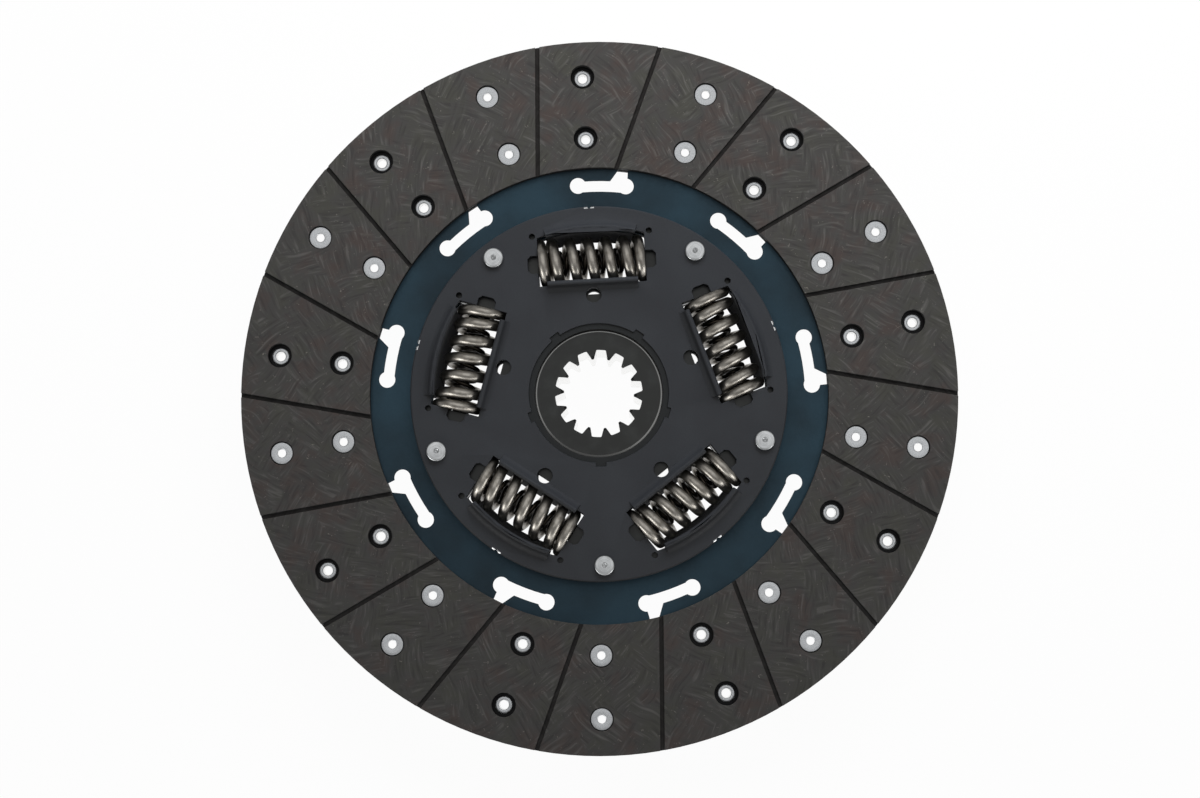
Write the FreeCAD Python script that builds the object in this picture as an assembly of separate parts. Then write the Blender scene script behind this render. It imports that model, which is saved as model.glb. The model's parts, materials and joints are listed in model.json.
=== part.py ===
# Clutch disc with two riveted friction facings, a waved cushion disc and a torsion damper of
# five nested coil springs between two side plates.
# The disc turns about Z. Its origin is in the middle of the hub's rear end, and the side with
# the short hub nose looks along +Z. Lengths are in millimetres and angles in degrees.
import FreeCAD, Part
import math
import os

# Friction facings
facing_outer_radius = 162.5
facing_inner_radius = 104.0
facing_thickness = 3.6
facing_web = 1.6
groove_count = 18
groove_width = 1.9
groove_depth = 1.3
groove_angle = -9.6
groove_offset = 27.3

# Rivets of the facings, two front and two rear ones in each paddle
paddle_count = 9
outer_rivet_circle = 146.2
inner_rivet_circle = 117.8
front_rivet_angle = 30.5
rear_rivet_angle = 13.0
rivet_head_radius = 5.0
rivet_head_thickness = 1.0
rivet_shank_radius = 2.6
rivet_bore_radius = 1.85
rivet_clinch_radius = 4.0
rivet_clinch_height = 0.75
rivet_head_clearance = 0.3
rivet_hole_clearance = 0.05
access_hole_clearance = 1.45

# Cushion disc
cushion_thickness = 1.0
cushion_wave = 0.4
cushion_edge_inset = 2.5
cushion_ear_depth = 9.6
wave_half_width = 9.0
wave_run_in = 10.0
paddle_gap = 4.2
paddle_gap_offset = 24.2
slot_circle = 96.8
slot_angle = 9.27
slot_half_angle = 6.48
slot_end_radius = 3.7
slot_width = 5.0
slot_inset = 0.7
neck_width = 8.6
neck_length = 7.5

# Side plates
plate_radius = 85.0
plate_thickness = 3.2
plate_gap = 9.0
plate_bore_radius = 31.5
plate_edge_round = 0.5
lug_slot_depth = 1.7
lug_slot_width = 4.6
rim_nick_radius = 0.8
peep_hole_circle = 44.5
peep_hole_radius = 3.4

# Spring windows
window_count = 5
window_angle = 21.04
window_half_width = 24.3
window_lip_chord = 51.5
window_lip_radius = 73.8
lip_height = 2.6
lip_thickness = 2.4
lip_half_length = 20.5
ear_height = 8.0
ear_depth = 4.7
ear_chamfer = 1.4
ear_drop = 1.0
corner_hole_radius = 1.35
corner_hole_across = 26.5
corner_hole_out = 72.5

# Springs
spring_line = 60.6
spring_outer_radius = 11.5
spring_wire_radius = 2.45
spring_turns = 6.75
spring_clearance = 0.4
spring_end_clearance = 0.05
inner_spring_radius = 5.9
inner_wire_radius = 1.1
inner_spring_turns = 12.5
closed_turns = 0.9

# Stop pins
pin_circle = 77.6
pin_angle = 55.9
pin_body_radius = 5.25
pin_tenon_radius = 3.5
pin_head_radius = 4.5
pin_head_height = 2.2
pin_head_bevel = 0.6
pin_dimple_radius = 1.2
pin_dimple_depth = 0.7

# Hub
hub_length = 32.0
hub_nose_height = 8.8
hub_nose_radius = 29.0
hub_barrel_radius = 26.0
hub_collar_length = 5.7
hub_chamfer = 0.9
flange_radius = 83.0
flange_thickness = 5.0
flange_window_chord = 45.5
flange_window_corner = 1.0
flange_window_foot = 3.0
stop_notch_radius = 71.5
stop_notch_half_angle = 10.8
stop_notch_corner = 1.6

# Spline in the hub
spline_count = 14
spline_angle = 9.9
spline_major_radius = 19.7
spline_minor_radius = 15.75
spline_root_width = 3.7
spline_mouth_width = 6.2
spline_root_round = 0.7
spline_lead_in = 1.3

# Bushes and friction rings
bush_running_clearance = 0.05
bush_seat_clearance = 0.1
bush_recess = 0.8
lug_side_clearance = 0.1
ring_inner_radius = 32.0
ring_outer_radius = 40.8
ring_running_clearance = 0.05
front_ring_thickness = 1.05
disc_spring_thickness = 0.5
disc_spring_inner_radius = 33.0

# Levels along the axis
cushion_z = hub_length - hub_nose_height
rear_plate_inner_z = cushion_z - cushion_thickness / 2
front_plate_inner_z = rear_plate_inner_z + plate_gap
damper_z = rear_plate_inner_z + plate_gap / 2
flange_rear_z = damper_z - flange_thickness / 2
flange_front_z = damper_z + flange_thickness / 2
facing_inner_z = cushion_z + cushion_thickness / 2 + cushion_wave
facing_front_z = facing_inner_z + facing_thickness

# Angles shared by several pieces
paddle_step = 360.0 / paddle_count
window_step = 360.0 / window_count
paddle_middle = (front_rivet_angle + rear_rivet_angle) / 2

ORIGIN = FreeCAD.Vector(0, 0, 0)
UP = FreeCAD.Vector(0, 0, 1)


def on_plan(z):
    """Places (x, y) points at the height z."""
    return lambda x, y: FreeCAD.Vector(x, y, z)


def on_section(r, z):
    """Places a (radius, height) point in the half plane through the axis."""
    return FreeCAD.Vector(r, 0, z)


def across_window(x):
    """Places (y, z) points in the plane at x."""
    return lambda y, z: FreeCAD.Vector(x, y, z)


def outline(place, start, *steps):
    """Closed wire. A step is an end point, or a point on an arc together with the arc's end."""
    edges = []
    here = place(*start)
    for step in steps + (start,):
        if isinstance(step[0], tuple):
            middle = place(*step[0])
            there = place(*step[1])
            edges.append(Part.Arc(here, middle, there).toShape())
        else:
            there = place(*step)
            if not there.isEqual(here, 1e-7):
                edges.append(Part.makeLine(here, there))
        here = there
    return Part.Wire(edges)


def prism(low, high, start, *steps):
    """Upright solid between two heights over an outline in plan."""
    base = Part.Face(outline(on_plan(low), start, *steps))
    return base.extrude(UP * (high - low))


def lathe(start, *steps, sweep=360.0):
    """Solid turned about the axis from a (radius, height) outline."""
    return Part.Face(outline(on_section, start, *steps)).revolve(ORIGIN, UP, sweep)


def ring(outer, inner, low, high):
    """Flat ring between two heights."""
    return lathe((inner, low), (outer, low), (outer, high), (inner, high))


def pillar(radius, low, high, circle=0.0, angle=0.0):
    """Upright cylinder whose middle lies on a circle about the axis, at an angle."""
    return Part.makeCylinder(radius, high - low, polar(circle, angle, low))


def polar(radius, angle, z=0.0):
    """Point at a radius and an angle."""
    return FreeCAD.Vector(
        radius * math.cos(math.radians(angle)), radius * math.sin(math.radians(angle)), z
    )


def turned(shape, angle):
    """Copy of a shape, turned about the axis."""
    copy = shape.copy()
    copy.rotate(ORIGIN, UP, angle)
    return copy


def around(shape, count, first=0.0):
    """Copies of a shape, spaced evenly about the axis."""
    return [turned(shape, first + 360.0 * i / count) for i in range(count)]


def beside_ray(angle, along, across):
    """Plan point that lies along a ray and across to its counter-clockwise side."""
    ray = math.radians(angle)
    return (
        along * math.cos(ray) - across * math.sin(ray),
        along * math.sin(ray) + across * math.cos(ray),
    )


def bar(angle, offset, width, near, far, low, high):
    """Straight bar parallel to a ray, between two distances along it."""
    corners = [
        beside_ray(angle, near, offset - width / 2),
        beside_ray(angle, far, offset - width / 2),
        beside_ray(angle, far, offset + width / 2),
        beside_ray(angle, near, offset + width / 2),
    ]
    return prism(low, high, *corners)


def turned_over(shape):
    """Copy turned over about the middle of the cushion disc, so that front becomes rear."""
    copy = shape.copy()
    copy.rotate(FreeCAD.Vector(0, 0, cushion_z), polar(1.0, paddle_middle), 180)
    return copy


def mirrored(shape):
    """Copy mirrored in the middle plane of the damper."""
    return shape.mirror(FreeCAD.Vector(0, 0, damper_z), UP)


def edges_where(shape, test):
    """Edges whose every point passes a test."""
    return [
        edge
        for edge in shape.Edges
        if all(test(point) for point in edge.discretize(5))
    ]


def spring_reach(height, clearance=spring_clearance):
    """Half the spring's width, with clearance, at a height above its middle."""
    return math.sqrt((spring_outer_radius + clearance) ** 2 - height**2)


def facing():
    """Front friction facing with its slanted grooves and its rivet holes."""
    body = ring(facing_outer_radius, facing_inner_radius, facing_inner_z, facing_front_z)
    seat_z = facing_inner_z + facing_web
    top = facing_front_z + 1.0
    below = facing_inner_z - 1.0
    cuts = []
    for circle in (inner_rivet_circle, outer_rivet_circle):
        head_radius = rivet_head_radius + rivet_head_clearance
        head = pillar(head_radius, seat_z, top, circle, front_rivet_angle)
        shank_radius = rivet_shank_radius + rivet_hole_clearance
        shank = pillar(shank_radius, below, top, circle, front_rivet_angle)
        access_radius = rivet_clinch_radius + access_hole_clearance
        access = pillar(access_radius, below, top, circle, rear_rivet_angle)
        for hole in (head, shank, access):
            cuts += around(hole, paddle_count)
    floor_z = facing_front_z - groove_depth
    near = facing_inner_radius * 0.9
    far = facing_outer_radius * 1.1
    groove = bar(groove_angle, groove_offset, groove_width, near, far, floor_z, top)
    cuts += around(groove, groove_count)
    return body.cut(cuts)


def rivet(circle):
    """Hollow rivet of the front facing, with its tube end clinched behind the paddle."""
    seat_z = facing_inner_z + facing_web
    head_z = seat_z + rivet_head_thickness
    clinch_z = facing_inner_z - cushion_thickness
    bevel = rivet_head_thickness * 0.35
    middle_radius = (rivet_bore_radius + rivet_clinch_radius) / 2
    body = lathe(
        (rivet_bore_radius, clinch_z),
        (rivet_bore_radius, head_z - bevel),
        (rivet_bore_radius + bevel, head_z),
        (rivet_head_radius - bevel, head_z),
        (rivet_head_radius, head_z - bevel),
        (rivet_head_radius, seat_z),
        (rivet_shank_radius, seat_z),
        (rivet_shank_radius, clinch_z),
        (rivet_clinch_radius, clinch_z),
        ((middle_radius, clinch_z - rivet_clinch_height), (rivet_bore_radius, clinch_z)),
    )
    body.translate(polar(circle, front_rivet_angle))
    return body


def front_rivets():
    """All rivets of the front facing."""
    rivets = []
    for circle in (inner_rivet_circle, outer_rivet_circle):
        rivets += around(rivet(circle), paddle_count)
    return Part.makeCompound(rivets)


def paddle_sheet():
    """Waved sheet of one paddle, wider than the paddle, with its middle on +Y."""
    half = facing_outer_radius * 0.5
    bend_y = facing_inner_radius - 2.0
    wave_y = bend_y + wave_run_in
    end_y = facing_outer_radius + 5.0
    half_sheet = cushion_thickness / 2

    def section(y, wave):
        place = lambda x, z: FreeCAD.Vector(x, y, cushion_z + z)
        return outline(
            place,
            (-half, wave - half_sheet),
            (-wave_half_width, wave - half_sheet),
            (wave_half_width, -wave - half_sheet),
            (half, -wave - half_sheet),
            (half, -wave + half_sheet),
            (wave_half_width, -wave + half_sheet),
            (-wave_half_width, wave + half_sheet),
            (-half, wave + half_sheet),
        )

    flat = section(slot_circle * 0.85, 0.0)
    bend = section(bend_y, 0.0)
    wave = section(wave_y, cushion_wave)
    end = section(end_y, cushion_wave)
    pieces = [
        Part.makeLoft([near, far], True, True)
        for near, far in ((flat, bend), (bend, wave), (wave, end))
    ]
    return pieces[0].fuse(pieces[1:])


def paddle():
    """One paddle of the cushion disc, between two slanted gaps."""
    outer = facing_outer_radius - cushion_edge_inset
    inner = slot_circle * 0.93
    far = facing_outer_radius * 1.2

    def gap_side(angle, offset, radius):
        return beside_ray(angle, math.sqrt(radius**2 - offset**2), offset)

    after = paddle_gap_offset + paddle_gap / 2
    before = paddle_gap_offset - paddle_gap / 2
    start = groove_angle
    end = groove_angle + paddle_step
    low = cushion_z - cushion_thickness - cushion_wave
    high = cushion_z + cushion_thickness + cushion_wave
    wedge = prism(
        low,
        high,
        gap_side(start, after, inner),
        gap_side(start, after, far),
        gap_side(end, before, far),
        gap_side(end, before, inner),
    )
    sector = ring(outer, inner, low, high).common(wedge)
    sheet = turned(paddle_sheet(), paddle_middle - 90.0)
    return sheet.common(sector)


def cushion_slot(low, high):
    """Slot between two paddles, with a round end on each side and a flared neck."""
    inset = slot_circle - slot_inset
    inner = inset - slot_width / 2
    outer = inset + slot_width / 2
    first = slot_angle - slot_half_angle
    last = slot_angle + slot_half_angle

    def corner(radius, angle):
        place = polar(radius, angle)
        return (place.x, place.y)

    body = prism(
        low,
        high,
        corner(inner, first),
        (corner(inner, slot_angle), corner(inner, last)),
        corner(outer, last),
        (corner(outer, slot_angle), corner(outer, first)),
    )
    ends = [pillar(slot_end_radius, low, high, slot_circle, a) for a in (first, last)]
    root = math.sqrt(slot_circle**2 - paddle_gap_offset**2)
    neck = prism(
        low,
        high,
        beside_ray(groove_angle, root, paddle_gap_offset - neck_width / 2),
        beside_ray(groove_angle, root + neck_length, paddle_gap_offset - paddle_gap / 2),
        beside_ray(groove_angle, root + neck_length, paddle_gap_offset + paddle_gap / 2),
        beside_ray(groove_angle, root, paddle_gap_offset + neck_width / 2),
    )
    return body.fuse(ends + [neck])


def cushion_window(low, high):
    """Opening in the cushion disc round one spring, with its middle on +Y."""
    height = damper_z - cushion_z - cushion_thickness / 2
    half = window_half_width + spring_clearance + 2.0
    reach = spring_line + spring_reach(height)
    radius = math.hypot(window_half_width, reach)
    side_y = math.sqrt(radius**2 - half**2)
    inner = pin_circle - cushion_ear_depth - 5.0
    return prism(
        low,
        high,
        (half, inner),
        (half, side_y),
        ((0.0, radius), (-half, side_y)),
        (-half, inner),
    )


def cushion_disc():
    """Spring steel disc with nine waved paddles for the facings."""
    low = cushion_z - cushion_thickness / 2
    high = cushion_z + cushion_thickness / 2
    inner = pin_circle - cushion_ear_depth
    web = ring(slot_circle, inner, low, high)
    body = web.fuse(around(paddle(), paddle_count))
    below = low - 2.0
    above = high + 2.0
    cuts = around(cushion_slot(below, above), paddle_count)
    window = cushion_window(below, above)
    cuts += around(window, window_count, window_angle - 90.0)
    pin_hole = pillar(pin_tenon_radius + rivet_hole_clearance, below, above, pin_circle, pin_angle)
    cuts += around(pin_hole, window_count)
    hole_radius = rivet_shank_radius + rivet_hole_clearance
    for circle in (inner_rivet_circle, outer_rivet_circle):
        for angle in (front_rivet_angle, rear_rivet_angle):
            hole = pillar(hole_radius, below, above, circle, angle)
            cuts += around(hole, paddle_count)
    return body.cut(cuts)


def window_hole(low, high):
    """Hole for one spring in a side plate, with its middle on +Y and a relief at each end."""
    reach = spring_reach(plate_gap / 2)
    side = window_half_width
    chord = spring_line - reach
    radius = math.hypot(side, spring_line + reach)
    ear_middle = spring_line - ear_drop
    ear_low = ear_middle - ear_height / 2
    ear_high = ear_middle + ear_height / 2
    tip = side + ear_depth
    top_y = spring_line + reach
    return prism(
        low,
        high,
        (side, chord),
        (side, ear_low),
        (tip - ear_chamfer, ear_low),
        (tip, ear_low + ear_chamfer),
        (tip, ear_high - ear_chamfer),
        (tip - ear_chamfer, ear_high),
        (side, ear_high),
        (side, top_y),
        ((0.0, radius), (-side, top_y)),
        (-side, ear_high),
        (ear_chamfer - tip, ear_high),
        (-tip, ear_high - ear_chamfer),
        (-tip, ear_low + ear_chamfer),
        (ear_chamfer - tip, ear_low),
        (-side, ear_low),
        (-side, chord),
    )


def lip_outline(place, edge, top, outward):
    """Section of a bent-up lip, from the hole's edge to the lip's free edge.

    The lip leans over the spring. Outward is 1 where the plate lies beyond the hole's edge and
    -1 where it lies before it.
    """
    low = front_plate_inner_z
    face = low + plate_thickness
    crest = face + lip_height
    lean = math.atan2(top - edge, crest - low)
    back_edge = outward * lip_thickness * math.cos(lean)
    back_rise = -outward * lip_thickness * math.sin(lean)
    back_z = crest + back_rise
    slope = math.tan(lean)
    foot = top + back_edge - slope * (back_z - face)
    bend = lip_thickness * 0.8
    round_mid = (
        top + back_edge * 0.55 + 0.3 * lip_thickness * math.sin(lean),
        crest + back_rise * 0.5 + 0.35 * lip_thickness,
    )
    rise_start = (foot + slope * bend, face + bend)
    bend_mid = (foot + outward * bend * 0.35, face + bend * 0.32)
    bend_end = (foot + outward * bend, face)
    return outline(
        place,
        (edge, low),
        (top, crest),
        (round_mid, (top + back_edge, back_z)),
        rise_start,
        (bend_mid, bend_end),
        (foot + outward * bend, low),
    )


def window_lips():
    """The inner straight lip and the outer curved lip of one window, with its middle on +Y."""
    reach = spring_reach(plate_gap / 2)
    chord = spring_line - reach
    straight = Part.Face(
        lip_outline(across_window(-lip_half_length), chord, window_lip_chord, -1)
    ).extrude(FreeCAD.Vector(2 * lip_half_length, 0, 0))
    radius = math.hypot(window_half_width, spring_line + reach)
    half_sweep = math.degrees(math.asin(lip_half_length / radius))
    curved = Part.Face(
        lip_outline(on_section, radius, window_lip_radius, 1)
    ).revolve(ORIGIN, UP, 2 * half_sweep)
    return [straight, turned(curved, 90.0 - half_sweep)]


def side_plate():
    """Front side plate."""
    low = front_plate_inner_z
    high = low + plate_thickness
    body = lathe(
        (plate_bore_radius, low),
        (plate_radius - plate_edge_round, low),
        (plate_radius, low + plate_edge_round),
        (plate_radius, high - plate_edge_round),
        (plate_radius - plate_edge_round, high),
        (plate_bore_radius, high),
    )
    below = low - 1.0
    above = high + 1.0
    cuts = around(window_hole(below, above), window_count, window_angle - 90.0)
    for across in (-corner_hole_across, corner_hole_across):
        corner = Part.makeCylinder(
            corner_hole_radius, above - below, FreeCAD.Vector(across, corner_hole_out, below)
        )
        cuts += around(corner, window_count, window_angle - 90.0)
    lug_end = plate_bore_radius + lug_slot_depth
    lug_slot = bar(pin_angle, 0.0, lug_slot_width, plate_bore_radius * 0.8, lug_end, below, above)
    cuts += around(lug_slot, window_count)
    hole_radius = pin_tenon_radius + rivet_hole_clearance
    cuts += around(pillar(hole_radius, below, above, pin_circle, pin_angle), window_count)
    peep_hole = pillar(peep_hole_radius, below, above, peep_hole_circle, window_angle)
    cuts += around(peep_hole, window_count)
    nick = pillar(rim_nick_radius, below, above, plate_radius, window_angle)
    cuts += around(nick, window_count)
    lips = []
    for lip in window_lips():
        lips += around(lip, window_count, window_angle - 90.0)
    return body.cut(cuts).fuse(lips).removeSplitter()


def coil(mean_radius, wire_radius, turns, hand):
    """Coil spring along X with closed, ground ends. Hand is 1 for a right-hand coil."""
    length = 2 * (window_half_width - spring_end_clearance)
    closed_pitch = 2.04 * wire_radius
    samples_per_turn = 16
    count = round(turns * samples_per_turn)
    step = turns / count
    opening = 0.5

    def openness(turn):
        from_end = min(turn, turns - turn)
        share = (from_end - closed_turns) / opening
        share = min(max(share, 0.0), 1.0)
        return share * share * (3 - 2 * share)

    middles = [openness((i + 0.5) * step) for i in range(count)]
    spare = length - closed_pitch * turns
    open_pitch = spare / (sum(middles) * step)
    points = []
    x = -length / 2
    for i in range(count + 1):
        turn = 2 * math.pi * i * step * hand
        points.append(
            FreeCAD.Vector(x, mean_radius * math.cos(turn), mean_radius * math.sin(turn))
        )
        if i < count:
            x += step * (closed_pitch + open_pitch * middles[i])
    curve = Part.BSplineCurve()
    curve.interpolate(points)
    start = curve.tangent(curve.FirstParameter)[0]
    section = Part.Wire([Part.makeCircle(wire_radius, points[0], start)])
    path = Part.Wire([curve.toShape()])
    wire = path.makePipeShell([section], True, True)
    between = Part.makeCylinder(
        mean_radius + 2 * wire_radius,
        length,
        FreeCAD.Vector(-length / 2, 0, 0),
        FreeCAD.Vector(1, 0, 0),
    )
    return wire.common(between)


def placed_spring(spring, index):
    """Spring in the window with this index."""
    copy = spring.copy()
    copy.translate(FreeCAD.Vector(0, spring_line, damper_z))
    return turned(copy, window_angle - 90.0 + window_step * index)


def stop_pin():
    """Stepped pin that holds the side plates apart and stops the hub."""
    body_low = cushion_z + cushion_thickness / 2
    body_high = front_plate_inner_z
    front_face = front_plate_inner_z + plate_thickness
    rear_face = rear_plate_inner_z - plate_thickness
    top = front_face + pin_head_height
    bottom = rear_face - pin_head_height
    edge = pin_head_radius - pin_head_bevel
    body = lathe(
        (0.0, bottom),
        (edge, bottom),
        (pin_head_radius, bottom + pin_head_bevel),
        (pin_head_radius, rear_face),
        (pin_tenon_radius, rear_face),
        (pin_tenon_radius, body_low),
        (pin_body_radius, body_low),
        (pin_body_radius, body_high),
        (pin_tenon_radius, body_high),
        (pin_tenon_radius, front_face),
        (pin_head_radius, front_face),
        (pin_head_radius, top - pin_head_bevel),
        (edge, top),
        (pin_dimple_radius, top),
        (0.0, top - pin_dimple_depth),
    )
    body.translate(polar(pin_circle, pin_angle))
    return body


def flange_window(low, high):
    """Spring window in the hub's flange, with its middle on +Y."""
    side = window_half_width
    foot = flange_window_foot
    corner = flange_window_corner
    reach = spring_line + spring_outer_radius + spring_clearance
    radius = math.hypot(side, reach + corner)
    arc_start = math.sqrt(radius**2 - (side - corner) ** 2)
    chord = flange_window_chord
    return prism(
        low,
        high,
        (foot - side, chord),
        (side - foot, chord),
        ((side - 0.293 * foot, chord + 0.293 * foot), (side, chord + foot)),
        (side, reach),
        (side - corner, arc_start),
        ((0.0, radius), (corner - side, arc_start)),
        (-side, reach),
        (-side, chord + foot),
        ((0.293 * foot - side, chord + 0.293 * foot), (foot - side, chord)),
    )


def stop_notch(low, high):
    """Notch in the flange's rim in which a stop pin plays, midway between two windows."""
    outer = flange_radius * 1.05
    wedge = prism(
        low,
        high,
        (0.0, 0.0),
        (outer * math.cos(math.radians(stop_notch_half_angle)),
         -outer * math.sin(math.radians(stop_notch_half_angle))),
        (outer * 1.1, 0.0),
        (outer * math.cos(math.radians(stop_notch_half_angle)),
         outer * math.sin(math.radians(stop_notch_half_angle))),
    )
    notch = wedge.cut(pillar(stop_notch_radius, low - 1.0, high + 1.0))
    near = stop_notch_radius + 0.01
    inner_edges = edges_where(
        notch, lambda p: math.hypot(p.x, p.y) < near and abs(p.y) > 1.0
    )
    upright = [edge for edge in inner_edges if edge.BoundBox.ZLength > (high - low) / 2]
    notch = notch.makeFillet(stop_notch_corner, upright)
    return turned(notch, window_angle + window_step / 2)


def spline_groove(low, high):
    """Groove between two teeth of the spline, on +X."""
    root_half = spline_root_width / 2
    mouth_half = spline_mouth_width / 2
    root = math.sqrt(spline_major_radius**2 - root_half**2)
    inside = spline_minor_radius - 3.0
    slope = (mouth_half - root_half) / (root - spline_minor_radius)
    inside_half = mouth_half + slope * 3.0
    body = prism(
        low,
        high,
        (inside, -inside_half),
        (root, -root_half),
        ((spline_major_radius, 0.0), (root, root_half)),
        (inside, inside_half),
    )
    corners = edges_where(body, lambda p: abs(p.x - root) < 0.01 and abs(p.y) > root_half - 0.01)
    upright = [edge for edge in corners if edge.BoundBox.ZLength > (high - low) / 2]
    return body.makeFillet(spline_root_round, upright)


def hub():
    """Splined hub forged in one piece with its flange."""
    collar_z = flange_rear_z - hub_collar_length
    body = lathe(
        (0.0, 0.0),
        (hub_barrel_radius - hub_chamfer, 0.0),
        (hub_barrel_radius, hub_chamfer),
        (hub_barrel_radius, collar_z),
        (hub_nose_radius - hub_chamfer, collar_z),
        (hub_nose_radius, collar_z + hub_chamfer),
        (hub_nose_radius, flange_rear_z),
        (flange_radius, flange_rear_z),
        (flange_radius, flange_front_z),
        (hub_nose_radius, flange_front_z),
        (hub_nose_radius, hub_length - hub_chamfer),
        (hub_nose_radius - hub_chamfer, hub_length),
        (0.0, hub_length),
    )
    below = flange_rear_z - 1.0
    above = flange_front_z + 1.0
    cuts = around(flange_window(below, above), window_count, window_angle - 90.0)
    cuts += around(stop_notch(below, above), window_count)
    groove = spline_groove(-1.0, hub_length + 1.0)
    cuts += around(groove, spline_count, spline_angle)
    cuts.append(pillar(spline_minor_radius, -1.0, hub_length + 1.0))
    wide = spline_minor_radius + spline_lead_in
    cuts.append(
        Part.makeCone(wide, spline_minor_radius, spline_lead_in)
    )
    cuts.append(
        Part.makeCone(
            spline_minor_radius,
            wide,
            spline_lead_in,
            FreeCAD.Vector(0, 0, hub_length - spline_lead_in),
        )
    )
    return body.cut(cuts)


def bush():
    """Plastic bearing bush in the front plate's bore, with lugs in the plate's slots."""
    inner = hub_nose_radius + bush_running_clearance
    outer = plate_bore_radius - bush_seat_clearance
    low = flange_front_z + ring_running_clearance
    high = front_plate_inner_z + plate_thickness - bush_recess
    body = ring(outer, inner, low, high)
    lug_end = plate_bore_radius + lug_slot_depth - bush_seat_clearance
    width = lug_slot_width - 2 * lug_side_clearance
    middle = (inner + outer) / 2
    lug = bar(pin_angle, 0.0, width, middle, lug_end, front_plate_inner_z, high)
    return body.fuse(around(lug, window_count))


def front_friction_ring():
    """Friction ring between the flange and the disc spring."""
    low = flange_front_z + ring_running_clearance
    return ring(ring_outer_radius, ring_inner_radius, low, low + front_ring_thickness)


def rear_friction_ring():
    """Friction ring between the rear plate and the flange."""
    high = flange_rear_z - ring_running_clearance
    return ring(ring_outer_radius, ring_inner_radius, rear_plate_inner_z, high)


def disc_spring():
    """Coned spring washer that presses the friction rings together."""
    outer_low = flange_front_z + ring_running_clearance + front_ring_thickness
    inner_high = front_plate_inner_z
    inner_low = inner_high - disc_spring_thickness
    return lathe(
        (disc_spring_inner_radius, inner_low),
        (ring_outer_radius, outer_low),
        (ring_outer_radius, outer_low + disc_spring_thickness),
        (disc_spring_inner_radius, inner_high),
    )


def pieces():
    """Every piece by name."""
    front_facing = facing()
    rivets = front_rivets()
    front_plate = side_plate()
    front_bush = bush()
    pin = stop_pin()
    mean_radius = spring_outer_radius - spring_wire_radius
    outer_spring = coil(mean_radius, spring_wire_radius, spring_turns, 1)
    inner_mean = inner_spring_radius - inner_wire_radius
    inner_spring = coil(inner_mean, inner_wire_radius, inner_spring_turns, -1)
    found = {
        "hub": hub(),
        "cushion_disc": cushion_disc(),
        "front_facing": front_facing,
        "rear_facing": turned_over(front_facing),
        "front_facing_rivets": rivets,
        "rear_facing_rivets": turned_over(rivets),
        "front_side_plate": front_plate,
        "rear_side_plate": mirrored(front_plate),
        "front_bush": front_bush,
        "rear_bush": mirrored(front_bush),
        "front_friction_ring": front_friction_ring(),
        "rear_friction_ring": rear_friction_ring(),
        "disc_spring": disc_spring(),
    }
    for i in range(window_count):
        found[f"stop_pin_{i + 1}"] = turned(pin, window_step * i)
        found[f"damper_spring_{i + 1}"] = placed_spring(outer_spring, i)
        found[f"inner_spring_{i + 1}"] = placed_spring(inner_spring, i)
    return found


def main():
    """Writes each piece to a file of its own."""
    os.makedirs("parts", exist_ok=True)
    for name, shape in pieces().items():
        shape.exportStep(f"parts/{name}.step")


main()
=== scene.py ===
"""Looks of a clutch disc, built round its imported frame.

The disc lies on its hub's rear end and turns about Z. Wound yarn facings, hollow rivets, a blued
cushion disc, two dark side plates with nested coil springs, stop pins and a splined hub each
have a class that builds their meshes and dresses them. Lengths are in millimetres and become
metres where a mesh is made.
"""

import json
import logging
import math
from dataclasses import dataclass
from enum import Enum

import bmesh
import bpy
import numpy as np
from mathutils import Matrix, Vector

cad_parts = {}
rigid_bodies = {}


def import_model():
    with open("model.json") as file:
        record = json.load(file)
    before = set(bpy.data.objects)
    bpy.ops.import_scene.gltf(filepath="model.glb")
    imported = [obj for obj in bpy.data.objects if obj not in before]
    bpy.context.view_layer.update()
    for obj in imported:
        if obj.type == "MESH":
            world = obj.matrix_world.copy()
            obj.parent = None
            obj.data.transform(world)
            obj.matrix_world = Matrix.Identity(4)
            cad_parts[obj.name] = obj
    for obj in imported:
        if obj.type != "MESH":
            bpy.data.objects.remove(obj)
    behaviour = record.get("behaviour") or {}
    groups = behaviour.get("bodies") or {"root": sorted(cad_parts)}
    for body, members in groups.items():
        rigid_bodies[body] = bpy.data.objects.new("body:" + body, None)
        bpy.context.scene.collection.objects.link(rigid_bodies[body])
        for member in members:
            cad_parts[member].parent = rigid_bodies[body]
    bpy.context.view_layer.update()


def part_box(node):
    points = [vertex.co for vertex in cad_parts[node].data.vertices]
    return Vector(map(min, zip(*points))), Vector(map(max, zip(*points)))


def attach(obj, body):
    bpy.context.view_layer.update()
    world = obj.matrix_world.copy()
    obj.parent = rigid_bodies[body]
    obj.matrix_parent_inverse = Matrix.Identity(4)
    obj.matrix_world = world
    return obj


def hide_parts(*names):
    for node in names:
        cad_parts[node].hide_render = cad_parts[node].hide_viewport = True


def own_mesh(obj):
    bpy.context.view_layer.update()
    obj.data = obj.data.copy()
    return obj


MM = 0.001
LOG = logging.getLogger("clutch_disc")

WINDOW_COUNT = 5
WINDOW_ANGLE = 21.04
DAMPER_HEIGHT = 27.2
SHARP_ANGLE = math.radians(35.0)
WHITE = (1.0, 1.0, 1.0, 1.0)
WHOLE = (0.0, 1.0, 1.0)

Field = bpy.types.Node | bpy.types.NodeSocket


class Side(Enum):
    """The two sides of the disc."""

    FRONT = "front"
    REAR = "rear"


class Hand(Enum):
    """Winding hand of a coil spring."""

    RIGHT = 1
    LEFT = -1


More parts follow.
